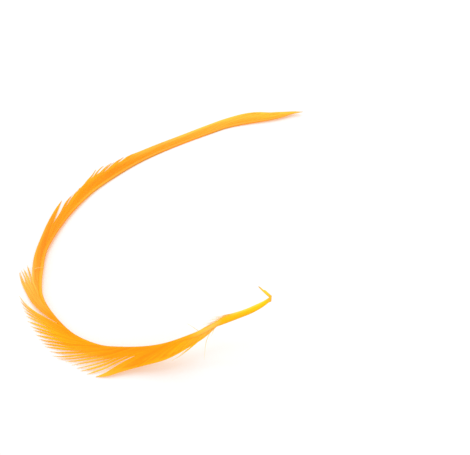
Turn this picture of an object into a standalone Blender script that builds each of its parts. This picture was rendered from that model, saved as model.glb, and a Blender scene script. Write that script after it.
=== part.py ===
"""Goose biot feather: the short stiff vane of a flight feather, peeled off with a strip of quill skin.

It lies curled in a C, on its tips and on the far side of the C, with the bare quill end raised.
The strip's middle line runs from the fold at the quill end to the feather's tip. A place on the
feather is given by how far along that line it is, and how far out from it towards the barb tips.
All values are in millimetres. The mesh is in metres.
"""

from collections import namedtuple

import bpy
import bmesh
from mathutils import Vector
from mathutils.geometry import delaunay_2d_cdt

METRES = 0.001

# The strip's middle line, from the fold at the quill end round the C to the tip
MIDDLE_LINE = (
    (46.3, -44.0, 25.0), (43.0, -46.2, 24.4), (38.1, -48.5, 23.3), (33.1, -49.9, 21.6), (23.5, -52.0, 16.9),
    (15.5, -54.9, 13.3), (-1.7, -57.8, 7.5), (-21.2, -56.8, 4.0), (-30.2, -54.1, 3.0), (-39.3, -48.7, 2.3),
    (-49.1, -37.9, 2.1), (-53.3, -29.3, 2.4), (-53.6, -14.7, 2.6), (-52.3, -6.8, 2.3), (-47.2, 4.6, 1.7),
    (-39.8, 16.2, 1.2), (-31.2, 25.9, 0.7), (-8.6, 42.9, 0.34), (24.4, 58.8, 0.34), (34.1, 61.8, 0.45),
    (53.3, 65.1, 1.2), (60.2, 67.0, 1.7), (65.2, 67.7, 2.0),
)
FOLD_TO = (41.8, -40.1, 29.0)          # the tip of the sliver folded back at the quill end

# The vane lies on the surface at this height, and would come down to it this far out from the strip
SURFACE_HEIGHT = 0.25
REACH = ((0, 40), (45, 40), (60, 20), (78, 14), (95, 12.5), (120, 10), (140, 9), (165, 10), (200, 9), (300, 9))
VANE_THICKNESS = 0.34
LOCK_RIDGE = 0.14                      # how far the middle of a lock stands above its edges
ROOT_DEPTH = 0.25                      # how far past the middle line the vane is rooted in the strip

# The strip of quill skin: along, inner and outer half width, height of crown, depth of hollow
SKIN = (
    (1.3, 0.55, 0.65, 0.15, 0.00), (4, 0.60, 1.00, 0.35, 0.20), (8, 0.85, 1.20, 0.50, 0.35),
    (14, 1.15, 1.20, 0.60, 0.45), (20, 1.55, 1.30, 0.60, 0.45), (24, 1.45, 1.15, 0.50, 0.35),
    (27, 0.80, 1.05, 0.45, 0.20), (31, 0.70, 0.90, 0.40, 0.10), (37, 0.85, 0.80, 0.30, 0.00),
    (100, 0.85, 0.80, 0.25, 0.00), (125, 1.05, 0.90, 0.25, 0.00), (155, 1.00, 0.80, 0.22, 0.00),
    (205, 1.00, 0.75, 0.20, 0.00), (240, 1.00, 0.65, 0.20, 0.00), (262, 1.00, 0.50, 0.15, 0.00),
    (274, 0.75, 0.35, 0.10, 0.00), (284, 0.12, 0.12, 0.02, 0.00),
)
SKIN_ABOVE = 0.22                      # the strip's edge, above and below the middle line
SKIN_BELOW = 0.36
SKIN_STEP = 3.0
ACROSS = (-1.0, -0.5, 0.0, 0.5, 1.0)
FOLD_HALF_WIDTH = 0.60
FOLD_TIP_HALF_WIDTH = 0.10
FOLD_HALF_THICKNESS = 0.20

# A group of locks of barbs side by side: the number of locks, where along the strip its roots start
# and end, how much its barbs bend outwards at its start and at its end, how far its tips curl out,
# how far up a barb the slit before the group begins and the slits inside it begin, and the line that
# its tips follow, as places along and out.
LockGroup = namedtuple("LockGroup", "locks roots bend curl slit_before slits tips")

LOCK_GROUPS = (
    # The closed sheet at the base
    LockGroup(9, (25, 50), (0.3, 0.85), 0, 0.0, 0.97,
              ((31, 2.2), (34, 2.9), (37, 3.1), (40, 3.4), (46, 4.8), (50, 5.4), (56, 5.8), (60, 6.9),
               (68, 9.2), (75, 12.0), (79.5, 13.8))),
    # Loose strands beside it
    LockGroup(3, (50, 58), (0.85, 0.80), 0, 0.32, 0.36,
              ((80.5, 13.2), (81.5, 12.6), (83, 12.3))),
    # The fan of stiff separate tips
    LockGroup(18, (58, 100), (0.80, 0.20), 0, 0.36, 0.56,
              ((83.5, 12.3), (87, 11.7), (91.8, 12.6), (95.3, 11.7), (99.3, 11.3), (105.4, 10.5),
               (111.4, 10.1), (115.4, 9.7), (119.4, 9.7))),
    # The locks that stand off at the left side
    LockGroup(4, (100, 108), (0.15, 0.15), 0, 0.12, 0.78,
              ((127.2, 10.3), (129.5, 9.0), (131.5, 7.6), (133.7, 6.3))),
    # The narrow closed vane up the left side
    LockGroup(7, (108, 137), (0.15, 0.20), 0, 0.52, 0.93,
              ((131.5, 4.7), (143, 4.7), (149, 5.6), (154, 6.4), (161, 7.2), (164.5, 7.9))),
    # A pair past the first gap
    LockGroup(2, (137, 142.5), (0.20, 0.20), 0, 0.52, 0.90,
              ((167.3, 6.1), (169.2, 5.5))),
    # The closed vane at the bend
    LockGroup(3, (142.5, 153.5), (0.20, 0.20), 0, 0.92, 0.92,
              ((170.5, 5.4), (174, 5.5), (180.5, 6.7))),
    # Two stray locks that curl out
    LockGroup(1, (153.5, 157), (0.20, 0.20), 1.8, 0.86, 0.86,
              ((184, 7.0), (184.6, 6.9))),
    LockGroup(1, (157, 161), (0.20, 0.20), 1.4, 0.80, 0.86,
              ((187.8, 6.9), (188.4, 6.8))),
    # Two pairs that stand a little proud
    LockGroup(2, (161, 165), (0.20, 0.20), 0.3, 0.84, 0.92,
              ((191, 6.8), (193, 6.5))),
    LockGroup(2, (165, 171), (0.20, 0.20), 0.2, 0.90, 0.93,
              ((196, 6.5), (199, 5.9))),
    # The long closed ribbon
    LockGroup(14, (171, 246), (0.20, 0.20), 0, 0.93, 0.97,
              ((201, 5.5), (206, 4.9), (216, 4.1), (228, 3.7), (237, 3.7), (247, 4.7), (256, 5.9),
               (262, 6.0), (267, 5.1), (271, 4.1))),
    # The last barbs, along the tip
    LockGroup(4, (246, 262), (0.15, 0.10), 0, 0.96, 0.90,
              ((272.5, 3.4), (277, 2.4), (281, 1.6), (284, 0.8), (287, 0.2))),
)
POINTS_ON_LOCK = 9
CURL_FROM = 0.72                       # where on a barb its tip starts to curl
ROOT_STEP = 3.0


def between(rows, along):
    """The values of a table of rows at a place along the strip."""
    for low, high in zip(rows, rows[1:]):
        if along <= high[0]:
            break
    share = min(max((along - low[0]) / (high[0] - low[0]), 0.0), 1.0)
    return [a + (b - a) * share for a, b in zip(low[1:], high[1:])]


class MiddleLine:
    """A smooth line through points, read by the distance along it."""

    def __init__(self, points):
        self.points = [Vector(point) for point in points]
        self.places = [0.0]
        for start, end in zip(self.points, self.points[1:]):
            self.places.append(self.places[-1] + (end - start).length)
        last = len(self.points) - 1
        self.slopes = []
        for index in range(last + 1):
            before, after = max(index - 1, 0), min(index + 1, last)
            run = self.places[after] - self.places[before]
            self.slopes.append((self.points[after] - self.points[before]) / run)

    def at(self, along):
        """The place this far along."""
        index = 0
        while index < len(self.places) - 2 and along > self.places[index + 1]:
            index += 1
        run = self.places[index + 1] - self.places[index]
        t = (along - self.places[index]) / run
        return (
            self.points[index] * (2 * t**3 - 3 * t**2 + 1) + self.slopes[index] * run * (t**3 - 2 * t**2 + t)
            + self.points[index + 1] * (3 * t**2 - 2 * t**3) + self.slopes[index + 1] * run * (t**3 - t**2)
        )

    def heading(self, along):
        """The direction of the line there."""
        return (self.at(along + 0.5) - self.at(along - 0.5)).normalized()

    def outward(self, along):
        """The level direction from the line to the barb tips."""
        heading = self.heading(along)
        return Vector((-heading.y, heading.x, 0.0)).normalized()


LINE = MiddleLine(MIDDLE_LINE)


def fall(along):
    """How much the vane comes down for each millimetre out from the strip."""
    return (LINE.at(along).z - SURFACE_HEIGHT) / between(REACH, along)[0]


def on_vane(along, out, lift=0.0):
    """The place in space of a place on the vane's middle sheet."""
    place = LINE.at(along) + LINE.outward(along) * out
    place.z = max(place.z - fall(along) * out, SURFACE_HEIGHT) + lift
    return place


def along_outline(points, share):
    """A point this share of the way along a line of tips, with its points evenly shared out."""
    reach = share * (len(points) - 1)
    index = min(int(reach), len(points) - 2)
    start, end = Vector(points[index]), Vector(points[index + 1])
    return start.lerp(end, reach - index)


class Lock:
    """One lock of barbs, with its edges and its middle as paths over the flat vane."""

    def __init__(self, group, number):
        self.group = group
        self.outer_share = number / group.locks
        self.middle_share = (number + 0.5) / group.locks
        self.inner_share = (number + 1) / group.locks
        self.slit_before = group.slit_before if number == 0 else group.slits

    def path(self, share, x):
        """A place on the barb at this share of the group, from its root at x = 0 to its tip at 1."""
        first_root, last_root = self.group.roots
        first_bend, last_bend = self.group.bend
        root = first_root + (last_root - first_root) * share
        bend = first_bend + (last_bend - first_bend) * share
        tip = along_outline(self.group.tips, share)
        curl = self.group.curl * max((x - CURL_FROM) / (1 - CURL_FROM), 0.0) ** 2
        return Vector((root + (tip.x - root) * x, tip.y * ((1 - bend) * x + bend * x * x) + curl))

    def free_edge(self, share, start):
        """The edge of the lock past the slit that starts at that place along, as it narrows to the tip."""
        root = self.path(share, 0).x
        first = (start - root) / (self.path(share, 1).x - root)
        steps = [k / POINTS_ON_LOCK for k in range(1, POINTS_ON_LOCK)]
        edge = []
        for x in steps:
            if x > first + 0.4 / POINTS_ON_LOCK:
                narrowing = ((x - first) / (1 - first)) ** 1.4
                edge.append(self.path(share, x).lerp(self.path(self.middle_share, x), narrowing))
        return edge


class FlatVane:
    """The vane laid out flat: its outline with every slit, and the ridges and edges of its locks."""

    def __init__(self):
        self.places = []
        self.lifts = []
        self.outline = []
        self.edges = []

    def add(self, place, lift=0.0):
        """Adds a point and gives its number."""
        self.places.append(Vector(place))
        self.lifts.append(lift)
        return len(self.places) - 1

    def add_line(self, numbers):
        """Joins points in a row."""
        self.edges.extend(zip(numbers, numbers[1:]))


def inner_line(lock, share, end_x, lift):
    """Points inside the vane on one barb, from where it leaves the strip to end_x."""
    points = []
    for k in range(1, POINTS_ON_LOCK):
        x = k / POINTS_ON_LOCK
        place = lock.path(share, x)
        if place.y > 0.35 and x < end_x - 0.4 / POINTS_ON_LOCK:
            points.append((place, lift))
    return points


def lay_out_vane():
    """Draws all the locks side by side, from the base to the tip."""
    vane = FlatVane()
    locks = [Lock(group, number) for group in LOCK_GROUPS for number in range(group.locks)]
    apex = vane.add((locks[0].path(0, 0).x, -ROOT_DEPTH))
    vane.outline.append(apex)
    for lock, following in zip(locks, locks[1:] + [None]):
        start = vane.places[apex].x
        vane.outline += [vane.add(place) for place in lock.free_edge(lock.outer_share, start)]
        tip = vane.add(lock.path(lock.middle_share, 1))
        vane.outline.append(tip)
        ridge = inner_line(lock, lock.middle_share, 1.0, LOCK_RIDGE)
        vane.add_line([vane.add(*point) for point in ridge] + [tip])
        if following:
            slit = following.slit_before
            end = following.path(following.outer_share, slit)
        else:
            end = Vector((lock.path(1, 0).x, -ROOT_DEPTH))
        back = lock.free_edge(lock.inner_share, end.x)
        vane.outline += [vane.add(place) for place in reversed(back)]
        apex = vane.add(end)
        vane.outline.append(apex)
        if following:
            seam = inner_line(following, following.outer_share, slit, 0.0)
            vane.add_line([vane.add(*point) for point in seam] + [apex])
    first, last = vane.places[vane.outline[0]].x, vane.places[apex].x
    roots = int((last - first) / ROOT_STEP)
    for k in range(1, roots):
        vane.outline.append(vane.add((last + (first - last) * k / roots, -ROOT_DEPTH)))
    return vane


def make_vane():
    """The vane of locks, bent round the strip, with its thickness."""
    flat = lay_out_vane()
    places, _, faces, sources, _, _ = delaunay_2d_cdt(flat.places, flat.edges, [flat.outline], 1, 1e-5)
    sheet = bmesh.new()
    verts = []
    for place, source in zip(places, sources):
        lift = flat.lifts[source[0]] if source else 0.0
        verts.append(sheet.verts.new(on_vane(place.x, place.y, lift) * METRES))
    for face in faces:
        sheet.faces.new([verts[index] for index in face])
    mesh = bpy.data.meshes.new("biot_feather")
    sheet.to_mesh(mesh)
    sheet.free()
    vane = bpy.data.objects.new("biot_feather", mesh)
    bpy.context.collection.objects.link(vane)
    thicken = vane.modifiers.new("Barb thickness", "SOLIDIFY")
    thicken.thickness = VANE_THICKNESS * METRES
    thicken.offset = 0.0
    return vane


def skin_ring(centre, out_axis, up_axis, inner, outer, crown, hollow, above, below):
    """One cross-section of the strip: crowned on top, hollow or flat below."""
    top, bottom = [], []
    for f in ACROSS:
        side = centre + out_axis * (f * (outer if f > 0 else inner))
        arch = 1 - f * f
        top.append(side + up_axis * (above + crown * arch))
        bottom.append(side - up_axis * (below - hollow * arch))
    return top + bottom[::-1]


def skin_rings():
    """The cross-sections from the sliver's tip, over the fold and along the strip to its end."""
    corner, sliver_tip = LINE.at(0), Vector(FOLD_TO)
    to_corner, onward = (corner - sliver_tip).normalized(), LINE.heading(0.5)
    facing = onward.cross(to_corner).normalized()
    if facing.z < 0:
        facing.negate()
    sliver_out = to_corner.cross(facing)
    inside = (onward - to_corner).normalized()
    if sliver_out.dot(inside) > 0:
        sliver_out.negate()
    thick = FOLD_HALF_THICKNESS
    rings = []
    for share in (0.0, 0.35, 0.7, 0.88):
        half = FOLD_TIP_HALF_WIDTH + (FOLD_HALF_WIDTH - FOLD_TIP_HALF_WIDTH) * share**0.7
        centre = sliver_tip.lerp(corner, share)
        rings.append(skin_ring(centre, sliver_out, facing, half, half, 0, 0, thick, thick))
    mitre = FOLD_HALF_WIDTH / onward.cross(inside).length
    rings.append(skin_ring(corner, -inside, facing, mitre, mitre, 0, 0, thick, thick))
    start, end = SKIN[0][0], SKIN[-1][0]
    count = round((end - start) / SKIN_STEP)
    for k in range(count + 1):
        along = start + (end - start) * k / count
        out_axis = (LINE.outward(along) - Vector((0, 0, fall(along)))).normalized()
        up_axis = LINE.heading(along).cross(out_axis).normalized()
        inner, outer, crown, hollow = between(SKIN, along)
        rings.append(skin_ring(LINE.at(along), out_axis, up_axis, inner, outer, crown, hollow,
                               SKIN_ABOVE, SKIN_BELOW))
    return rings


def make_skin():
    """The strip of quill skin with its folded sliver, flattened where it lies on the surface."""
    rings = skin_rings()
    skin = bmesh.new()
    first = [skin.verts.new(place) for place in rings[0]]
    face = skin.faces.new(first)
    for ring in rings[1:]:
        face = bmesh.ops.extrude_discrete_faces(skin, faces=[face])["faces"][0]
        for vert, place in zip(face.verts, ring):
            vert.co = place
    skin.faces.new(first)
    bmesh.ops.recalc_face_normals(skin, faces=skin.faces)
    for vert in skin.verts:
        vert.co.z = max(vert.co.z, 0.0)
        vert.co *= METRES
    mesh = bpy.data.meshes.new("quill skin")
    skin.to_mesh(mesh)
    skin.free()
    strip = bpy.data.objects.new("quill skin", mesh)
    bpy.context.collection.objects.link(strip)
    strip.hide_render = True
    strip.display_type = "WIRE"
    return strip


def keratin():
    """Dyed feather keratin: warm orange with a soft sheen."""
    material = bpy.data.materials.new("dyed keratin")
    material.use_nodes = True
    shader = material.node_tree.nodes["Principled BSDF"]
    shader.inputs["Base Color"].default_value = (0.96, 0.38, 0.03, 1.0)
    shader.inputs["Roughness"].default_value = 0.45
    shader.inputs["Metallic"].default_value = 0.0
    return material


for leftover in list(bpy.data.objects):
    bpy.data.objects.remove(leftover)

feather = make_vane()
join = feather.modifiers.new("Grown from the strip", "BOOLEAN")
join.operation = "UNION"
join.solver = "EXACT"
join.object = make_skin()
feather.data.materials.append(keratin())
feather.data.shade_smooth()
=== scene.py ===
"""Goose biot feather, dressed: the short stiff vane of a goose flight feather, dyed and curled.

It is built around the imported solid. A place on the feather is given by how far along the strip's
middle line it is, and how far out from that line towards the barb tips. These places are in
millimetres, as the solid's own are. Every mesh is in metres.
"""

from collections import namedtuple
from math import cos, exp, pi, radians, sin
from random import Random

import bmesh
import bpy
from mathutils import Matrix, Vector, noise


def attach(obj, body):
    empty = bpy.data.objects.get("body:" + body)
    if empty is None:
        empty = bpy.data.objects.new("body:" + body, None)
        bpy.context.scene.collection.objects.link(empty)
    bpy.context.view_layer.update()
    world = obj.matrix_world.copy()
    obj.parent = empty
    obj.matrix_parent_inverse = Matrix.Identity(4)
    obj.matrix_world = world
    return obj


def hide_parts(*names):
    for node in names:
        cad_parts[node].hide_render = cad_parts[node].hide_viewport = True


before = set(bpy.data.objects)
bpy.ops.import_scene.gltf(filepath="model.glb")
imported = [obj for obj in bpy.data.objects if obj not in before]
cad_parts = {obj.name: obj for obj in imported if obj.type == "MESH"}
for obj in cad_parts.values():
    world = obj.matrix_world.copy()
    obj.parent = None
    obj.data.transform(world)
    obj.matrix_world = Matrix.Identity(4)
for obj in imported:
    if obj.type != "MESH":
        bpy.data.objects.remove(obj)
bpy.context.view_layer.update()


# The table and the light
# A matt white table under bright, even studio light, so bright that the bare table is pure white.
# The table also glows warm orange on its own. This is painted light, seen only in its shadows, and
# stands for the light that comes through the dyed horn onto it.
MM = 0.001
LOOKED_AT = Vector((31.9, 2.2, 4.0)) * MM
LIGHT_DISTANCE = 2.4
TABLE_HALF_WIDTH = 4.0


def soft_light(name, elevation, power):
    """A square soft light behind the feather, turned towards it, so far off that it lights evenly."""
    lamp = bpy.data.lights.new(name, "AREA")
    lamp.shape = "SQUARE"
    lamp.size = LIGHT_DISTANCE / 2
    lamp.energy = power
    light = bpy.data.objects.new(name, lamp)
    lift = radians(elevation)
    light.location = LOOKED_AT + Vector((0, cos(lift), sin(lift))) * LIGHT_DISTANCE
    light.rotation_euler = (radians(elevation - 90), 0, 0)
    bpy.context.collection.objects.link(light)


soft_light("overhead_light", elevation=72, power=20.1)
soft_light("rear_light", elevation=50, power=18.0)

studio = bpy.data.worlds.new("studio")
studio.use_nodes = True
walls = studio.node_tree.nodes["Background"]
walls.inputs["Color"].default_value = (1.0, 1.0, 1.0, 1.0)
walls.inputs["Strength"].default_value = 1.05
bpy.context.scene.world = studio
bpy.context.scene.view_settings.view_transform = "Standard"

table = bmesh.new()
bmesh.ops.create_grid(table, x_segments=1, y_segments=1, size=TABLE_HALF_WIDTH)
table_mesh = bpy.data.meshes.new("table")
table.to_mesh(table_mesh)
table.free()
table_top = bpy.data.objects.new("table", table_mesh)
bpy.context.collection.objects.link(table_top)
matt_white = bpy.data.materials.new("matt white")
matt_white.use_nodes = True
table_shader = matt_white.node_tree.nodes["Principled BSDF"]
# Painted light: this bluish base colour and the orange glow are balanced so that the lit table clips to
# white and its shadows show peach.
table_shader.inputs["Base Color"].default_value = (0.20, 0.49, 0.63, 1.0)
table_shader.inputs["Roughness"].default_value = 0.9
table_shader.inputs["Specular IOR Level"].default_value = 0.1
table_shader.inputs["Emission Color"].default_value = (1.0, 0.39, 0.10, 1.0)
table_shader.inputs["Emission Strength"].default_value = 0.75
table_mesh.materials.append(matt_white)


# The camera
# It looks down at the feather from in front, 60 degrees above the table.
CAMERA_ELEVATION = radians(60)
CAMERA_DISTANCE = 0.5

lens = bpy.data.cameras.new("camera")
lens.lens = 85
lens.clip_start = 0.01
camera = bpy.data.objects.new("camera", lens)
towards_camera = Vector((0, -cos(CAMERA_ELEVATION), sin(CAMERA_ELEVATION)))
camera.location = LOOKED_AT + towards_camera * CAMERA_DISTANCE
camera.rotation_euler = (pi / 2 - CAMERA_ELEVATION, 0, 0)
bpy.context.collection.objects.link(camera)
bpy.context.scene.camera = camera


# The strip of quill skin
# A thin strip of the quill's horny outer skin, peeled off with the vane. It is bare, glossy and
# yellow at the base, where its end is folded back in a sliver, and as orange as the vane after that.
MIDDLE_LINE = (
    (46.3, -44.0, 25.0), (43.0, -46.2, 24.4), (38.1, -48.5, 23.3), (33.1, -49.9, 21.6),
    (23.5, -52.0, 16.9), (15.5, -54.9, 13.3), (-1.7, -57.8, 7.5), (-21.2, -56.8, 4.0),
    (-30.2, -54.1, 3.0), (-39.3, -48.7, 2.3), (-49.1, -37.9, 2.1), (-53.3, -29.3, 2.4),
    (-53.6, -14.7, 2.6), (-52.3, -6.8, 2.3), (-47.2, 4.6, 1.7), (-39.8, 16.2, 1.2),
    (-31.2, 25.9, 0.7), (-8.6, 42.9, 0.34), (24.4, 58.8, 0.34), (34.1, 61.8, 0.45),
    (53.3, 65.1, 1.2), (60.2, 67.0, 1.7), (65.2, 67.7, 2.0),
)
# The folded end, as its outer and inner edge, from the sliver's tip round the fold to the strip
FOLD = (
    ((41.7, -40.1, 29.0), (41.5, -40.4, 28.9)),
    ((42.5, -40.5, 28.5), (42.2, -41.0, 28.4)),
    ((43.6, -41.3, 28.0), (43.1, -41.8, 27.9)),
    ((44.4, -41.3, 27.6), (43.9, -42.4, 27.4)),
    ((45.3, -41.9, 27.1), (44.7, -43.0, 26.8)),
    ((46.3, -42.6, 26.5), (45.5, -43.4, 26.2)),
    ((47.1, -43.0, 25.9), (46.0, -43.6, 25.5)),
    ((46.9, -44.9, 24.4), (46.0, -43.6, 25.5)),
)
FOLD_FACES = Vector((0.2, -0.55, 0.8))
FOLD_CROWN = 0.06
FOLD_HALF_THICKNESS = 0.13
# Along, inner and outer half width, height of crown, depth of hollow
SKIN = (
    (1.3, 0.70, 0.95, 0.15, 0.00), (4, 0.97, 1.18, 0.35, 0.20), (8, 1.24, 1.34, 0.50, 0.35),
    (14, 1.42, 1.37, 0.60, 0.45), (18, 1.80, 1.33, 0.60, 0.45), (20.5, 2.05, 1.30, 0.55, 0.40),
    (22.5, 1.85, 1.24, 0.50, 0.35), (24, 1.30, 1.15, 0.50, 0.35), (26, 0.95, 1.00, 0.45, 0.20),
    (31, 1.15, 0.85, 0.40, 0.10), (37, 1.05, 0.80, 0.30, 0.00), (48, 0.85, 0.80, 0.25, 0.00),
    (96, 0.75, 0.80, 0.25, 0.00), (110, 0.75, 0.80, 0.25, 0.00), (118, 0.80, 0.85, 0.25, 0.00),
    (130, 0.90, 0.90, 0.25, 0.00), (145, 0.80, 0.95, 0.22, 0.00), (158, 0.55, 1.05, 0.22, 0.00),
    (172, 0.65, 1.05, 0.22, 0.00), (184, 0.50, 1.15, 0.20, 0.00), (196, 0.60, 1.05, 0.20, 0.00),
    (210, 0.80, 0.85, 0.20, 0.00), (240, 0.85, 0.65, 0.20, 0.00), (258, 0.98, 0.50, 0.15, 0.00),
    (268, 0.82, 0.45, 0.12, 0.00), (277, 0.30, 0.25, 0.05, 0.00), (285.5, 0.05, 0.08, 0.00, 0.00),
)
SKIN_ABOVE = 0.20                      # the strip's thickness above and below its middle line
SKIN_BELOW = 0.34
EDGE_THICKNESS = 0.65                  # the share of it that is left at the rounded edges
SKIN_THINS_OVER = 14                   # the length over which the strip thins to its end
TORN_EDGE = 0.05                       # how uneven the inner edge is, where the strip was torn off
RING_SPACING = 0.8
RING_STEPS = 6                         # from the strip's middle to each edge
SURFACE_HEIGHT = 0.25                  # the vane lies on the table at this height
# Along, and how far out from the strip the vane would come down to the table there
REACH = (
    (0, 40), (45, 40), (60, 20), (78, 12), (95, 9.5), (120, 9), (140, 9), (165, 10), (200, 9), (300, 9),
)


def between(rows, along):
    """The values of a table of rows at a place along the strip."""
    for low, high in zip(rows, rows[1:]):
        if along <= high[0]:
            break
    share = min(max((along - low[0]) / (high[0] - low[0]), 0.0), 1.0)
    return [a + (b - a) * share for a, b in zip(low[1:], high[1:])]


class SmoothLine:
    """A smooth line through points, read by the distance along it."""

    def __init__(self, points):
        self.points = [Vector(point) for point in points]
        self.places = [0.0]
        for start, end in zip(self.points, self.points[1:]):
            self.places.append(self.places[-1] + (end - start).length)
        last = len(self.points) - 1
        self.slopes = []
        for index in range(last + 1):
            before, after = max(index - 1, 0), min(index + 1, last)
            run = self.places[after] - self.places[before]
            self.slopes.append((self.points[after] - self.points[before]) / run)

    def at(self, along):
        """The place this far along."""
        index = 0
        while index < len(self.places) - 2 and along > self.places[index + 1]:
            index += 1
        start, end = self.points[index], self.points[index + 1]
        leaving, arriving = self.slopes[index], self.slopes[index + 1]
        run = self.places[index + 1] - self.places[index]
        t = (along - self.places[index]) / run
        return (
            start * (2 * t**3 - 3 * t**2 + 1) + leaving * run * (t**3 - 2 * t**2 + t)
            + end * (3 * t**2 - 2 * t**3) + arriving * run * (t**3 - t**2)
        )

    def heading(self, along):
        """The direction of the line there."""
        return (self.at(along + 0.5) - self.at(along - 0.5)).normalized()

    def outward(self, along):
        """The level direction from the line to the barb tips."""
        heading = self.heading(along)
        return Vector((-heading.y, heading.x, 0.0)).normalized()


LINE = SmoothLine(MIDDLE_LINE)


def fall(along):
    """How much the vane comes down for each millimetre out from the strip."""
    return (LINE.at(along).z - SURFACE_HEIGHT) / between(REACH, along)[0]


def out_and_up(along):
    """The directions out over the sloping vane there, and straight up from it."""
    out_axis = (LINE.outward(along) - Vector((0, 0, fall(along)))).normalized()
    return out_axis, LINE.heading(along).cross(out_axis).normalized()


def skin_profile(inner, outer, crown, hollow, above, below):
    """A cross-section of the strip as places across and up: crowned on top, hollow or flat below."""
    top, bottom = [], []
    for k in range(-RING_STEPS, RING_STEPS + 1):
        f = k / RING_STEPS
        side = f * (outer if f > 0 else inner)
        arch = 1 - abs(f) ** 2.4
        rounding = (1 - EDGE_THICKNESS) * (1 - abs(f) ** 8) + EDGE_THICKNESS
        top.append((side, above * rounding + crown * arch))
        bottom.append((side, -(below * rounding - hollow * arch)))
    return top + bottom[::-1]


def skin_rings():
    """The strip's cross-sections, from the sliver's tip, round the fold, and along to its end.

    Each is given by its middle, its directions out and up, its profile and its place along the strip.
    """
    rings = []
    for number, edges in enumerate(FOLD):
        outer_edge, inner_edge = Vector(edges[0]), Vector(edges[1])
        half = (outer_edge - inner_edge).length / 2
        out_axis = (outer_edge - inner_edge).normalized()
        up_axis = (FOLD_FACES - out_axis * FOLD_FACES.dot(out_axis)).normalized()
        profile = skin_profile(half, half, FOLD_CROWN, 0.0, FOLD_HALF_THICKNESS, FOLD_HALF_THICKNESS)
        along = number - len(FOLD) + 1.0
        rings.append(((outer_edge + inner_edge) / 2, out_axis, up_axis, profile, along))
    start, end = SKIN[0][0], SKIN[-1][0]
    count = round((end - start) / RING_SPACING)
    for k in range(count + 1):
        along = start + (end - start) * k / count
        inner, outer, crown, hollow = between(SKIN, along)
        torn = TORN_EDGE * noise.noise(Vector((along * 0.55, 3.1, 0.0)))
        thinned = min((end - along) / SKIN_THINS_OVER + 0.1, 1.0)
        above, below = SKIN_ABOVE * thinned, SKIN_BELOW * thinned
        profile = skin_profile(inner + torn, outer, crown, hollow, above, below)
        rings.append((LINE.at(along), *out_and_up(along), profile, along))
    return rings


def sweep(mesh_data, rings):
    """Joins rings of places, in millimetres, into a closed skin, and returns each ring's vertices."""
    swept = [[mesh_data.verts.new(spot) for spot in rings[0]]]
    face = mesh_data.faces.new(swept[0])
    for _ in rings[1:]:
        face = bmesh.ops.extrude_discrete_faces(mesh_data, faces=[face])["faces"][0]
        swept.append(list(face.verts))
    mesh_data.faces.new(swept[0])
    for verts, spots in zip(swept, rings):
        for vert, spot in zip(verts, spots):
            vert.co = Vector((spot.x, spot.y, max(spot.z, 0.0))) * MM
    return swept


def make_skin():
    """The strip's mesh, with its place along the strip and across it kept for the material."""
    skin = bmesh.new()
    along_layer = skin.verts.layers.float.new("along")
    across_layer = skin.verts.layers.float.new("across")
    under_layer = skin.verts.layers.float.new("under")
    rings = skin_rings()
    spots = [[middle + out_axis * side + up_axis * up for side, up in profile]
             for middle, out_axis, up_axis, profile, along in rings]
    for (_, _, _, profile, along), verts in zip(rings, sweep(skin, spots)):
        inner, outer = -profile[0][0], profile[2 * RING_STEPS][0]
        for index, vert in enumerate(verts):
            side = profile[index][0]
            vert[along_layer] = along
            vert[across_layer] = side / (inner if side < 0 else outer)
            vert[under_layer] = float(index >= len(profile) // 2)
    bmesh.ops.recalc_face_normals(skin, faces=skin.faces)
    return skin


def new_piece(mesh_data, name, material):
    """Makes an object of a bmesh, which rides on the feather and takes its finish from a slot."""
    mesh = bpy.data.meshes.new(name)
    mesh_data.to_mesh(mesh)
    mesh_data.free()
    mesh.shade_smooth()
    mesh.materials.append(material)
    piece = bpy.data.objects.new(name, mesh)
    bpy.context.collection.objects.link(piece)
    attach(piece, "root")
    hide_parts("biot_feather")
    return piece


def dyed(red, green, blue):
    """The dyed horn's own colour, from how it looks in this bright light, which is more than white."""
    light, gloss = 1.36, 0.012
    full_red, reddest = 245, 0.96

    def linear(value):
        value /= 255
        return value / 12.92 if value <= 0.04045 else ((value + 0.055) / 1.055) ** 2.4
    own_red = reddest if red > full_red else linear(red) / light
    return (own_red, max(linear(green) - gloss, 0) / light, max(linear(blue) - gloss, 0) / light, 1.0)


def add_node(tree, kind, inputs=(), **settings):
    """Adds a shader node. Each input is a value or a socket to link it to."""
    node = tree.nodes.new(kind)
    for name, value in settings.items():
        setattr(node, name, value)
    for key, value in dict(inputs).items():
        if isinstance(value, bpy.types.NodeSocket):
            tree.links.new(value, node.inputs[key])
        else:
            node.inputs[key].default_value = value
    return node


def attribute(tree, name):
    """A value kept in the mesh."""
    return add_node(tree, "ShaderNodeAttribute", attribute_name=name).outputs["Fac"]


def part_way(tree, value, low, high):
    """How far a value has come from low to high, as a share from 0 to 1."""
    return add_node(tree, "ShaderNodeMapRange", {"Value": value, "From Min": low, "From Max": high},
                    interpolation_type="SMOOTHSTEP").outputs[0]


def spread(tree, value, least, most, low=0.0, high=1.0):
    """A value from low to high, spread out evenly from least to most."""
    return add_node(tree, "ShaderNodeMapRange", {
        "Value": value, "From Min": low, "From Max": high, "To Min": least, "To Max": most}).outputs[0]


def mixed(tree, share, first, second, blend="MIX"):
    """A mix of two colours."""
    return add_node(tree, "ShaderNodeMix", {0: share, 6: first, 7: second},
                    data_type="RGBA", blend_type=blend).outputs[2]


def product(tree, first, second):
    """The product of two values."""
    return add_node(tree, "ShaderNodeMath", {0: first, 1: second}, operation="MULTIPLY").outputs[0]


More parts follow.
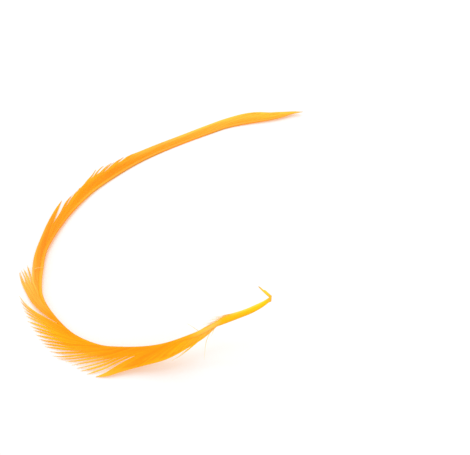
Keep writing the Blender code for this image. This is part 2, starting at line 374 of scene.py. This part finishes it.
def colours_along(tree, stops):
    """Colours that change along the strip. Each stop is a place along it and a colour."""
    start, span = -8.0, 296.0
    share = spread(tree, attribute(tree, "along"), 0.0, 1.0, start, start + span)
    ramp = add_node(tree, "ShaderNodeValToRGB", {"Fac": share})
    elements = ramp.color_ramp.elements
    for element, (along, colour) in zip(elements, (stops[0], stops[-1])):
        element.position = (along - start) / span
        element.color = dyed(*colour)
    for along, colour in stops[1:-1]:
        elements.new((along - start) / span).color = dyed(*colour)
    return ramp.outputs["Color"]


def make_fibre_group():
    """Node group: the fine lengthwise fibres that all horn of a feather shows."""
    group = bpy.data.node_groups.new("horn fibres", "ShaderNodeTree")
    for name in ("Across", "Along", "Tone"):
        group.interface.new_socket(name, in_out="INPUT", socket_type="NodeSocketFloat")
    for name in ("Streak", "Height"):
        group.interface.new_socket(name, in_out="OUTPUT", socket_type="NodeSocketFloat")
    given = group.nodes.new("NodeGroupInput").outputs
    put_out = group.nodes.new("NodeGroupOutput")
    spot = add_node(group, "ShaderNodeCombineXYZ",
                    {0: given["Across"], 1: given["Along"], 2: given["Tone"]}).outputs[0]
    broad = add_node(group, "ShaderNodeTexNoise", {"Vector": spot, "Scale": 1.0, "Detail": 2.0})
    fine = add_node(group, "ShaderNodeTexNoise", {"Vector": spot, "Scale": 3.7, "Detail": 2.0})
    group.links.new(broad.outputs["Fac"], put_out.inputs["Streak"])
    group.links.new(fine.outputs["Fac"], put_out.inputs["Height"])
    return group


HORN_FIBRES = make_fibre_group()


def fibres(tree, across, along, tone):
    """The broad streaks and the fine height of the horn's fibres."""
    group = add_node(tree, "ShaderNodeGroup", node_tree=HORN_FIBRES)
    for name, value in (("Across", across), ("Along", along), ("Tone", tone)):
        tree.links.new(value, group.inputs[name])
    return group.outputs["Streak"], group.outputs["Height"]


def streaked(tree, colour, streak, darkest, lightest):
    """A colour made darker and lighter by the streaks."""
    return mixed(tree, 1.0, colour, spread(tree, streak, darkest, lightest, 0.3, 0.7), blend="MULTIPLY")


def ribbed(tree, shader, height, strength, depth):
    """Gives a shader the fine ribs of the fibres, this many millimetres deep."""
    bump = add_node(tree, "ShaderNodeBump",
                    {"Height": height, "Strength": strength, "Distance": depth * MM})
    tree.links.new(bump.outputs[0], shader.inputs["Normal"])


def make_skin_material():
    """Horn, from lemon yellow at the folded end through gold to orange, with lengthwise fibres."""
    material = bpy.data.materials.new("quill skin")
    material.use_nodes = True
    tree = material.node_tree
    shader = tree.nodes["Principled BSDF"]
    shader.inputs["Roughness"].default_value = 0.34
    shader.inputs["Specular IOR Level"].default_value = 0.14
    middle = colours_along(tree, (
        (-8, (220, 140, 60)), (-6.6, (245, 190, 60)), (-5.5, (252, 226, 64)), (-2, (252, 234, 64)),
        (-0.4, (250, 206, 72)), (0.6, (250, 206, 60)), (1.8, (252, 222, 24)), (6, (252, 222, 8)),
        (12, (253, 208, 8)), (18, (253, 206, 14)), (22, (252, 204, 30)), (25, (253, 212, 86)),
        (28, (254, 218, 96)), (33, (254, 210, 74)), (38, (253, 186, 16)), (46, (253, 169, 8)),
        (60, (254, 162, 10)), (108, (254, 168, 16)), (114, (254, 182, 40)), (128, (253, 180, 54)),
        (136, (253, 166, 36)), (150, (253, 158, 32)), (172, (253, 172, 34)), (205, (253, 164, 32)),
        (240, (252, 170, 36)), (268, (252, 170, 34)), (288, (252, 188, 46)),
    ))
    # The inner edge holds painted light. It is a painted highlight, paler than the middle, along the
    # quill's yellow base to about 17 mm along, and painted shade on the strip's shaded rim from about
    # 175 to 265 mm along.
    inner_edge = colours_along(tree, (
        (-8, (220, 140, 60)), (-6.6, (245, 190, 60)), (-5.5, (252, 220, 60)), (0, (252, 215, 70)),
        (2, (253, 224, 60)), (10, (254, 224, 76)), (16.5, (254, 216, 80)), (18.5, (250, 190, 52)),
        (23, (252, 200, 60)), (28, (254, 200, 60)), (33, (254, 206, 74)), (38, (253, 174, 6)),
        (50, (253, 167, 8)), (108, (254, 165, 14)), (114, (254, 182, 36)), (126, (252, 186, 54)),
        (136, (252, 166, 36)), (160, (252, 160, 34)), (178, (244, 170, 50)), (190, (232, 152, 48)),
        (210, (236, 156, 40)), (228, (246, 166, 40)), (244, (238, 160, 46)), (262, (246, 166, 40)),
        (288, (252, 184, 46)),
    ))
    outer_edge = colours_along(tree, (
        (-8, (220, 140, 60)), (-5.5, (250, 210, 60)), (-1, (250, 206, 70)), (0, (248, 190, 70)),
        (1.5, (252, 222, 20)), (8, (252, 212, 20)), (20, (252, 206, 30)), (24, (252, 206, 56)),
        (28, (254, 226, 116)), (34, (254, 218, 90)), (40, (253, 178, 12)), (50, (253, 164, 10)),
        (108, (254, 164, 14)), (116, (253, 172, 36)), (134, (253, 152, 30)), (172, (253, 164, 30)),
        (205, (253, 154, 24)), (268, (252, 170, 34)), (288, (252, 180, 46)),
    ))
    along, across = attribute(tree, "along"), attribute(tree, "across")
    colour = mixed(tree, part_way(tree, across, -0.30, -0.80), middle, inner_edge)
    colour = mixed(tree, part_way(tree, across, 0.30, 0.85), colour, outer_edge)
    streak, height = fibres(tree, product(tree, across, 4.0), product(tree, along, 0.2), along)
    colour = streaked(tree, colour, streak, 0.88, 1.0)
    pith = product(tree, attribute(tree, "under"), 0.35)
    colour = mixed(tree, pith, colour, dyed(255, 226, 160))
    tree.links.new(colour, shader.inputs["Base Color"])
    ribbed(tree, shader, height, strength=0.35, depth=0.05)
    return material


new_piece(make_skin(), "quill_skin", make_skin_material())


# The biots
# Several hundred stiff flat barbs of horn, which grow from the strip's outer edge and sweep to the
# tip. By the strip and along the ribbon they cling together like shingles, as a thin closed sheet.
# In the fan their ends part in locks.

# A group of locks side by side. What changes over the group is given from its first lock to its last.
#   locks, roots: how many there are, and where along the strip the group's first and last barb grow
#   bend: how much a barb hugs the strip before it sweeps out, or bows outwards where this is negative
#   slits: where on the barbs the locks part, from 0 at the root to 1 at the tip
#   tips: an outline, or one place for each lock, as places along the strip and out from it
#   ragged: how unevenly the free ends lie
#   gaps, opening: how much of the vane's width is open at the tips, and how late it opens
#   slit_before: where on the barbs the group parts from the one before it
#   curl: how far the ends curl out
LockGroup = namedtuple("LockGroup", "locks roots bend slits tips ragged gaps opening slit_before curl",
                       defaults=(0.6, 1.0, None, 0.0))

LOCK_GROUPS = {
    "basal_sheet": LockGroup(
        locks=10, roots=(22.5, 50), bend=(0.3, 0.85), slits=(0.99, 0.99), ragged=0.02,
        tips=((26.3, 1.3), (29.6, 2.1), (33.6, 2.8), (37.9, 3.7), (42.8, 4.8), (47.4, 5.8), (51.7, 6.5),
              (56.7, 7.1), (61.6, 8.0), (67.5, 9.8), (72.5, 11.8), (76.9, 13.0))),
    "loose_strands": LockGroup(
        locks=3, roots=(50, 58), bend=(0.85, 0.80), slits=(0.30, 0.40), ragged=0.2,
        gaps=0.65, opening=0.8, slit_before=0.28,
        tips=((79.6, 12.9), (81.8, 12.3), (83.6, 11.9))),
    "fan": LockGroup(
        locks=17, roots=(58, 95.5), bend=(0.75, 0.85, 0.9, 0.9, 0.9, 0.85, 0.8, 0.7, 0.6),
        slits=(0.48, 0.50, 0.52, 0.56, 0.60, 0.62, 0.60, 0.56, 0.54), ragged=0.2,
        gaps=0.92, slit_before=0.45,
        tips=((85.3, 11.2), (87.8, 11.2), (90.6, 11.9), (92.4, 12.0), (94.1, 11.4), (96.8, 11.2),
              (98.4, 11.0), (100.6, 11.0), (102.7, 10.6), (104.8, 10.2), (106.9, 10.2), (109.3, 9.9),
              (111.2, 9.3), (113.0, 9.1), (114.6, 9.0), (116.4, 9.1), (118.0, 9.4))),
    "side_edge": LockGroup(
        locks=2, roots=(95.5, 101), bend=(0.52, 0.95), slits=(0.86, 0.82), ragged=0.05,
        gaps=0.7, opening=1.6, curl=0.5,
        tips=((127.9, 10.1), (128.2, 9.8))),
    "side_locks": LockGroup(
        locks=3, roots=(101, 108), bend=(0.78, 0.8, 0.8), slits=(0.72, 0.64, 0.56), ragged=0.05,
        gaps=0.8, opening=1.6, slit_before=0.76,
        tips=((129.0, 9.4), (129.7, 8.5), (131.3, 7.0))),
    "left_ribbon": LockGroup(
        locks=8, roots=(108, 137), bend=(-0.50, -0.3, 0.35), slits=(0.99, 0.99), ragged=0.03,
        slit_before=0.50,
        tips=((124.5, 3.7), (128.6, 4.3), (133.5, 4.55), (138.5, 4.6), (144.0, 5.1), (149.5, 6.1),
              (154.5, 7.0), (159.5, 7.8), (164.6, 8.3))),
    "first_pair": LockGroup(
        locks=2, roots=(137, 142.5), bend=(-0.20, -0.10), slits=(0.62, 0.64), ragged=0.08,
        gaps=0.85, slit_before=0.46, curl=0.4,
        tips=((168.0, 5.9), (169.9, 5.8))),
    "bend": LockGroup(
        locks=4, roots=(142.5, 153.5), bend=(0.25, 0.20), slits=(0.84, 0.92, 0.99, 0.99), ragged=0.03,
        slit_before=0.62,
        tips=((170.0, 5.75), (172.2, 5.9), (174.8, 6.1), (177.6, 6.5), (180.4, 7.3))),
    "first_stray": LockGroup(
        locks=1, roots=(153.5, 157), bend=(0.20, 0.20), slits=(0.80, 0.80), ragged=0.05,
        gaps=0.4, opening=1.5, slit_before=0.84, curl=-0.5,
        tips=((184.6, 9.4), (184.4, 8.8))),
    "second_stray": LockGroup(
        locks=1, roots=(157, 161), bend=(0.45, 0.30), slits=(0.80, 0.80), ragged=0.05,
        gaps=0.4, opening=1.5, slit_before=0.795, curl=0.75,
        tips=((188.1, 8.35), (188.4, 8.0))),
    "second_pair": LockGroup(
        locks=2, roots=(161, 165), bend=(-0.3, -0.1), slits=(0.68, 0.70), ragged=0.04,
        gaps=0.8, slit_before=0.755, curl=0.4,
        tips=((191.9, 7.25), (193.0, 6.75))),
    "third_pair": LockGroup(
        locks=2, roots=(165, 171), bend=(0.1, -0.4), slits=(0.94, 0.94), ragged=0.03,
        gaps=0.5, slit_before=0.68, curl=0.15,
        tips=((194.5, 6.75), (196.5, 6.55), (198.6, 6.3))),
    "long_ribbon": LockGroup(
        locks=14, roots=(171, 246), bend=(-0.35, 0.1), slits=(0.99, 0.99), ragged=0.02,
        slit_before=0.78,
        tips=((200, 5.95), (206, 5.15), (212, 4.75), (218, 4.5), (224, 4.35), (230, 4.35), (236, 4.5),
              (242, 4.6), (247, 4.7), (251.5, 5.0), (256, 5.45), (261, 5.7), (265.5, 5.3), (268.5, 4.6),
              (271, 4.0))),
    "tip": LockGroup(
        locks=4, roots=(246, 262), bend=(0.20, 0.10), slits=(0.99, 0.99), ragged=0.02,
        slit_before=0.98,
        tips=((271, 4.0), (273.5, 3.75), (276, 3.2), (278.5, 2.45), (281, 1.65), (283.6, 0.9),
              (286.4, 0.15))),
}
CLOSED = 0.95                          # barbs with their slit beyond this end in a smooth, closed edge
CLOSED_ENDS = (0.955, 0.975)           # where they end, just inside the sheet's outline
CURL_FROM = 0.72                       # where on a barb its end starts to curl
LOCK_ROUNDING = 0.3                    # how much shorter a lock is at its sides, past its slits
UNEVEN_LENGTH = (0.6, 1.4)             # by how much that changes from barb to barb
FREE_LIFT = 1.6                        # how far off the vane a free end may lift, times ragged
BIOT_SPACING = 0.72                    # between the roots of neighbouring barbs
NARROWEST_BIOT = 0.36
WIDEST_BIOT = 1.1
SHARPEST_TIP = 0.05                    # the width that is left at the very tip
OVERLAP = 1.5                          # a barb's width, as a share of the distance to the next one
LESS_OVERLAP = 0.4                     # how much less that is past the slits
# The more of a barb is free, the stiffer it is, and the further it keeps its width: slit, taper
TAPER_FROM = ((0.63, 0.88), (0.8, 0.8), (1.0, 0.6))
BIOT_ROLL = radians(16)                # how much a barb is rolled, to lap over its neighbour
BIOT_RIDGE = 0.22                      # the height of its ridge, as a share of its half width
BIOT_WAVE = 0.12
BIOT_THICKNESS = 0.07
LOWEST_BIOT = 0.06
COLUMNS_ON_BIOT = 4
SECTIONS_ON_BIOT = 24
# The sheet lies this far under the barbs, ends this share before their slits, and is never lower
SHEET_UNDER = 0.1
SHEET_SHORT = 0.01
LOWEST_SHEET = 0.05
COLUMNS_ON_LOCK = 4
# Along, and how far the barbs' roots lie over the strip and hide it: wholly at the fan
ROOTS_OVER_STRIP = ((30, 0.0), (46, 1.0), (104, 1.0), (122, 0.0), (300, 0.0))
ROOT_START = -0.5                      # where the roots begin there, out from the strip's middle
ROOT_RISE = 0.56                       # and how high they rise over the strip
ROOT_SLOPE = 1.1                       # and how far out that height has mostly gone


def on_row(values, reach):
    """A value on the smooth curve through a row of values."""
    rows = [Vector(value) if isinstance(value, tuple) else value for value in values]
    rows = [rows[0] * 2 - rows[1]] + rows + [rows[-1] * 2 - rows[-2]]
    reach = min(max(reach, 0.0), len(values) - 1.0)
    index = min(int(reach), len(values) - 2)
    t = reach - index
    before, start, end, after = rows[index:index + 4]
    bow = before * 2 - start * 5 + end * 4 - after
    turn = (start - end) * 3 + after - before
    return start + (end - before + (bow + turn * t) * t) * (0.5 * t)


def over_group(values, share):
    """A value that changes over a group, at this share of it."""
    return on_row(values, share * (len(values) - 1))


def root_and_tip(group, share):
    """Where the barb at this share of its group grows, and where it ends."""
    root = group.roots[0] + (group.roots[1] - group.roots[0]) * share
    if len(group.tips) == group.locks:
        return root, on_row(group.tips, share * group.locks - 0.5)
    return root, over_group(group.tips, share)


def outward_reach(group, share, x):
    """How far out from the strip a barb is there, if nothing holds it back."""
    root, tip = root_and_tip(group, share)
    bend = over_group(group.bend, share)
    near_tip = max((x - CURL_FROM) / (1 - CURL_FROM), 0.0)
    curl = group.curl * 4 * near_tip * (1 - near_tip)
    over_strip = ROOT_START * between(ROOTS_OVER_STRIP, root)[0] ** 4 * (1 - x) ** 6
    return tip.y * ((1 - bend) * x + bend * x * x) + curl + over_strip


def eased(value, low, high):
    """How far a value has come from low to high, with a soft start and end."""
    share = min(max((value - low) / (high - low), 0.0), 1.0)
    return share * share * (3 - 2 * share)


def barb_path(name, share, x):
    """A place on the barb at this share of its group, from its root at x = 0 to its tip at 1."""
    group = LOCK_GROUPS[name]
    root, tip = root_and_tip(group, share)
    place = Vector((root + (tip.x - root) * x, outward_reach(group, share, x)))
    order = list(LOCK_GROUPS)
    if order[0] == name or group.slit_before is None:
        return place
    # Up to the slit between them, the group's first barbs lie against the last one of the group before
    edge, first_tip = root_and_tip(group, 0.0)
    group_before = LOCK_GROUPS[order[order.index(name) - 1]]
    last_tip = root_and_tip(group_before, 1.0)[1]
    own_x = max((place.x - edge) / (first_tip.x - edge), 0.0)
    x_before = max((place.x - edge) / (last_tip.x - edge), 0.0)
    if x_before < 1.0:
        apart = outward_reach(group_before, 1.0, x_before) - outward_reach(group, 0.0, min(own_x, 1.0))
        held = 1 - eased(x_before, group.slit_before, (group.slit_before + 1) / 2)
        place.y += apart * held * (1 - share) ** 1.5
    return place


def on_vane(place, lift=0.0):
    """The place in space of a place on the vane."""
    spot = LINE.at(place.x) + LINE.outward(place.x) * place.y
    over_strip = ROOT_RISE * between(ROOTS_OVER_STRIP, place.x)[0] * exp(-(place.y / ROOT_SLOPE) ** 2)
    spot.z = max(spot.z - fall(place.x) * place.y, SURFACE_HEIGHT) + over_strip + lift
    return spot


class Biot:
    """One barb: where it runs, how wide it is and how it lies against its neighbours."""

    def __init__(self, name, lock, share, chance):
        group = LOCK_GROUPS[name]
        self.name = name
        self.group = group
        self.share = share
        self.middle = (lock + 0.5) / group.locks
        self.slit = over_group(group.slits, self.middle)
        off_middle = abs(share - self.middle) * group.locks
        if lock == 0 and share < self.middle and group.slit_before is not None:
            self.slit = min(group.slit_before, self.slit)
        self.closed = self.slit > CLOSED
        if self.closed:
            self.end = chance.uniform(*CLOSED_ENDS)
        else:
            shorter = (1.0 - self.slit) * LOCK_ROUNDING * off_middle * chance.uniform(*UNEVEN_LENGTH)
            self.end = 1.0 - shorter
        self.taper_from = next(taper for slit, taper in TAPER_FROM if self.slit < slit)
        self.lift = FREE_LIFT * group.ragged * chance.random() ** 2
        self.sway = group.ragged * chance.uniform(-0.5, 0.5)
        self.tone = chance.random()

    def freedom(self, x):
        """How far along the free part of the barb it is there, from 0 at the slit to 1 at the tip."""
        return max((x - self.slit) / (1 - self.slit), 0.0)

    def parted(self, x):
        """How much the lock has drawn together there, away from the next one."""
        return self.group.gaps * self.freedom(x) ** self.group.opening

    def height(self, v):
        """How far the barb is above the vane: a free end lifts, a closed one dips into the sheet."""
        return -2 * SHEET_UNDER * v**8 if self.closed else self.lift * v**3

    def place(self, v):
        """Where the barb is this share of the way from root to tip, along and out."""
        x = v * self.end
        own = barb_path(self.name, self.share, x)
        shared = barb_path(self.name, self.middle, x)
        return own.lerp(shared, self.parted(x)) + Vector((0, self.sway * self.freedom(x) ** 2))

    def spacing(self, x):
        """The distance between barbs there, measured square to them."""
        step = BIOT_SPACING / (self.group.roots[1] - self.group.roots[0])
        ahead = min(self.share + step / 2, 1.0)
        behind = max(ahead - step, 0.0)
        apart = on_vane(barb_path(self.name, ahead, x)) - on_vane(barb_path(self.name, behind, x))
        run = on_vane(barb_path(self.name, self.share, min(x + 0.03, 1.0)))
        run -= on_vane(barb_path(self.name, self.share, max(x - 0.03, 0.0)))
        return apart.cross(run.normalized()).length

    def half_width(self, v):
        """Half the barb's width, which narrows at its root and tapers to its tip."""
        x = v * self.end
        overlap = OVERLAP - LESS_OVERLAP * min(self.freedom(x) * 4, 1.0)
        width = overlap * self.spacing(x) * (1 - self.parted(x))
        width = min(max(width, NARROWEST_BIOT), WIDEST_BIOT)
        taper = 1 - max((v - self.taper_from) / (1 - self.taper_from), 0.0) ** 1.8
        root_taper = min(0.3 + 10 * v, 1.0)
        return 0.5 * max(width * taper * root_taper, SHARPEST_TIP)

    def section(self, v):
        """The barb's cross-section there: its middle, directions, half width, wave and place."""
        place = self.place(v)
        centre = on_vane(place, self.height(v))
        run = on_vane(self.place(min(v + 0.02, 1.0))) - on_vane(self.place(max(v - 0.02, 0.0)))
        run.normalize()
        side = out_and_up(place.x)[1].cross(run).normalized()
        up = run.cross(side)
        rolled = side * cos(BIOT_ROLL) - up * sin(BIOT_ROLL)
        wave = BIOT_WAVE * noise.noise(Vector((place.x * 0.12, place.y * 0.3, 7.0)))
        return centre, rolled, up, self.half_width(v), wave, place.x, self.freedom(v * self.end)


def add_biot(vane, layers, biot):
    """Adds a barb to the vane's mesh: a thin blade with a ridge, rolled to overlap its neighbour."""
    along_layer, free_layer, tone_layer, uv_layer = layers
    blade = bmesh.ops.create_grid(
        vane, x_segments=COLUMNS_ON_BIOT, y_segments=SECTIONS_ON_BIOT, size=1.0)
    sections = [biot.section(k / SECTIONS_ON_BIOT) for k in range(SECTIONS_ON_BIOT + 1)]
    for vert in blade["verts"]:
        u = vert.co.x
        k = round((vert.co.y + 1) / 2 * SECTIONS_ON_BIOT)
        centre, side, up, half, wave, along, free = sections[k]
        ridge = BIOT_RIDGE * half * (1 - abs(u)) + wave
        spot = centre + side * (half * u) + up * ridge
        vert.co = Vector((spot.x, spot.y, max(spot.z, LOWEST_BIOT))) * MM
        vert[along_layer] = along
        vert[free_layer] = free
        vert[tone_layer] = biot.tone
        for loop in vert.link_loops:
            loop[uv_layer].uv = (0.5 + 0.5 * u, k / SECTIONS_ON_BIOT)


def add_sheet(vane, layers, name):
    """Adds the thin sheet that a group's closed barbs form together, up to where they part."""
    along_layer, free_layer, tone_layer, uv_layer = layers
    group = LOCK_GROUPS[name]
    columns = group.locks * COLUMNS_ON_LOCK
    sheet = bmesh.ops.create_grid(vane, x_segments=columns, y_segments=SECTIONS_ON_BIOT, size=1.0)
    for vert in sheet["verts"]:
        share = (vert.co.x + 1) / 2
        v = 1 - (1 - (vert.co.y + 1) / 2) ** 1.5          # the rows are closer together at the tips
        place = barb_path(name, share, v * (over_group(group.slits, share) - SHEET_SHORT))
        spot = on_vane(place, -SHEET_UNDER)
        vert.co = Vector((spot.x, spot.y, max(spot.z, LOWEST_SHEET))) * MM
        vert[along_layer] = place.x
        vert[free_layer] = 0.0
        vert[tone_layer] = 0.5
        for loop in vert.link_loops:
            loop[uv_layer].uv = (0.5, v)


def make_biots(groups, seed):
    """The mesh of all the barbs of some groups of locks."""
    chance = Random(seed)
    vane = bmesh.new()
    layers = [vane.verts.layers.float.new(name) for name in ("along", "free", "tone")]
    layers.append(vane.loops.layers.uv.new("barb"))
    for name in groups:
        group = LOCK_GROUPS[name]
        add_sheet(vane, layers, name)
        in_lock = max(round((group.roots[1] - group.roots[0]) / group.locks / BIOT_SPACING), 2)
        for lock in range(group.locks):
            for number in range(in_lock):
                share = (lock + (number + 0.5) / in_lock) / group.locks
                add_biot(vane, layers, Biot(name, lock, share, chance))
    return vane


def make_biot_material():
    """Dyed horn: deeper orange by the strip, paler and yellower to the tips, with fine fibres."""
    material = bpy.data.materials.new("dyed biots")
    material.use_nodes = True
    tree = material.node_tree
    shader = tree.nodes["Principled BSDF"]
    shader.inputs["Specular IOR Level"].default_value = 0.1
    by_the_strip = colours_along(tree, (
        (24, (254, 214, 110)), (34, (254, 198, 50)), (44, (253, 182, 18)), (55, (253, 166, 12)),
        (65, (254, 166, 8)), (80, (254, 172, 6)), (95, (254, 171, 8)), (105, (254, 174, 36)),
        (112, (253, 184, 66)), (122, (252, 174, 60)), (135, (253, 156, 40)), (150, (253, 160, 36)),
        (165, (253, 164, 18)), (185, (253, 158, 12)), (200, (253, 162, 18)), (220, (253, 173, 42)),
        (240, (252, 186, 58)), (262, (252, 184, 50)), (288, (252, 188, 50)),
    ))
    by_the_tips = colours_along(tree, (
        (24, (254, 210, 90)), (40, (253, 196, 40)), (60, (253, 174, 24)), (70, (254, 188, 46)),
        (78, (254, 206, 74)), (90, (254, 192, 30)), (100, (254, 196, 40)), (112, (254, 204, 64)),
        (125, (254, 214, 104)), (134, (253, 180, 60)), (150, (253, 176, 50)), (165, (253, 178, 36)),
        (185, (253, 190, 38)), (200, (254, 184, 48)), (220, (254, 192, 74)), (245, (252, 208, 76)),
        (265, (253, 200, 62)), (288, (253, 192, 56)),
    ))
    uv = add_node(tree, "ShaderNodeUVMap", uv_map="barb")
    u, v = add_node(tree, "ShaderNodeSeparateXYZ", {0: uv.outputs[0]}).outputs[:2]
    colour = mixed(tree, part_way(tree, v, 0.42, 0.92), by_the_strip, by_the_tips)
    free_end = product(tree, part_way(tree, attribute(tree, "free"), 0.55, 1.0), 0.45)
    colour = mixed(tree, free_end, colour, dyed(255, 218, 84))
    lit_edge = product(tree, part_way(tree, u, 0.6, 1.0), 0.45)
    colour = mixed(tree, lit_edge, colour, dyed(254, 205, 60))
    tone = attribute(tree, "tone")
    colour = mixed(tree, 1.0, colour, spread(tree, tone, 0.82, 1.10), blend="MULTIPLY")
    own_fibres = product(tree, tone, 90.0)
    streak, height = fibres(tree, product(tree, u, 5.0), product(tree, v, 3.0), own_fibres)
    colour = streaked(tree, colour, streak, 0.90, 1.04)
    tree.links.new(colour, shader.inputs["Base Color"])
    tree.links.new(spread(tree, height, 0.35, 0.6), shader.inputs["Roughness"])
    ribbed(tree, shader, height, strength=0.3, depth=0.04)
    return material


DYED_BIOTS = make_biot_material()
for piece_name, groups, seed in (
    ("biots_base", ("basal_sheet", "loose_strands"), 11),
    ("biots_fan", ("fan", "side_edge", "side_locks"), 12),
    ("biots_bend", ("left_ribbon", "first_pair", "bend", "first_stray", "second_stray", "second_pair",
                    "third_pair"), 13),
    ("biots_ribbon", ("long_ribbon", "tip"), 14),
):
    biots = new_piece(make_biots(groups, seed), piece_name, DYED_BIOTS)
    thicken = biots.modifiers.new("horn thickness", "SOLIDIFY")
    thicken.thickness = BIOT_THICKNESS * MM
    thicken.offset = 0.0


# The down
# Soft fluff on the shoulder where the vane begins, and a few loose hairs and wisps that have come
# away from the barbs beside it. One fibre lies across the strip.
WISPS = (
    ((20.2, -55.2, 13.9), (15.8, -57.9, 12.4), (12.5, -60.3, 11.2), (9.0, -62.3, 9.8)),
    ((18.2, -56.0, 12.9), (12.3, -60.6, 10.8), (8.6, -62.9, 9.3), (5.6, -64.3, 8.1)),
)
HAIRS = (
    ((17.9, -54.2, 13.4), (15.2, -52.9, 15.3), (13.6, -52.1, 16.0), (11.9, -51.2, 16.4)),
    ((21.6, -54.4, 14.7), (20.4, -57.0, 14.6), (19.8, -58.7, 13.4), (19.4, -61.1, 11.6),
     (19.1, -64.4, 9.0)),
    ((23.2, -53.3, 15.6), (22.5, -55.3, 15.9), (21.9, -56.5, 15.2)),
    ((-56.7, -18.4, 3.2), (-55.6, -18.2, 3.6), (-54.2, -18.1, 3.9), (-52.6, -17.9, 4.0)),
)
# Thickness, and how deeply it is dyed, from 0 to 1
WISP = (0.58, 1.0)
HAIR = (0.30, 0.3)
FLUFF = (0.11, 0.2)
FLUFF_HAIRS = 46
SHOULDER = (18.5, 26.5)                # where along the strip the fluff grows
FLUFF_ABOVE = 0.35                     # how high over the vane it starts
STEPS_ON_HAIR = 10


def add_hair(down, dye_layer, points, thickness, dye):
    """Adds a thin hair with three sides, which tapers to its far end."""
    line = SmoothLine(points)
    length = line.places[-1]
    rings = []
    for k in range(STEPS_ON_HAIR + 1):
        t = k / STEPS_ON_HAIR
        heading = line.at(min(t + 0.05, 1.0) * length) - line.at(max(t - 0.05, 0.0) * length)
        heading.normalize()
        side = heading.cross(Vector((0, 0, 1))).normalized()
        up = side.cross(heading)
        radius = 0.5 * thickness * (1 - 0.85 * t**1.5)
        corners = [radians(90 + 120 * corner) for corner in range(3)]
        rings.append([line.at(t * length) + (side * cos(c) + up * sin(c)) * radius for c in corners])
    for ring in sweep(down, rings):
        for vert in ring:
            vert[dye_layer] = dye


def make_down():
    """The mesh of all the fluff, hairs and wisps."""
    chance = Random(15)
    down = bmesh.new()
    dye_layer = down.verts.layers.float.new("dye")
    for points in WISPS:
        add_hair(down, dye_layer, points, *WISP)
    for points in HAIRS:
        add_hair(down, dye_layer, points, *HAIR)
    for _ in range(FLUFF_HAIRS):
        root = chance.uniform(*SHOULDER)
        length = chance.uniform(2.5, 7.5)
        edge = -between(SKIN, root)[0] * chance.uniform(0.6, 0.95)
        leaning = chance.uniform(-0.1, 0.28)
        lift = chance.uniform(0.0, 0.25)
        points = []
        for k in range(4):
            t = k / 3
            place = Vector((root + length * t, edge - leaning * length * t**1.5))
            points.append(on_vane(place, FLUFF_ABOVE + lift * length * t * t))
        add_hair(down, dye_layer, points, *FLUFF)
    bmesh.ops.recalc_face_normals(down, faces=down.faces)
    return down


def make_down_material():
    """Fluff: pale, soft and matt, and only lightly dyed."""
    material = bpy.data.materials.new("down")
    material.use_nodes = True
    tree = material.node_tree
    shader = tree.nodes["Principled BSDF"]
    shader.inputs["Roughness"].default_value = 0.7
    shader.inputs["Specular IOR Level"].default_value = 0.1
    colour = mixed(tree, attribute(tree, "dye"), dyed(255, 248, 180), dyed(254, 214, 36))
    tree.links.new(colour, shader.inputs["Base Color"])
    return material


fluff = new_piece(make_down(), "down", make_down_material())
fluff.data.shade_flat()
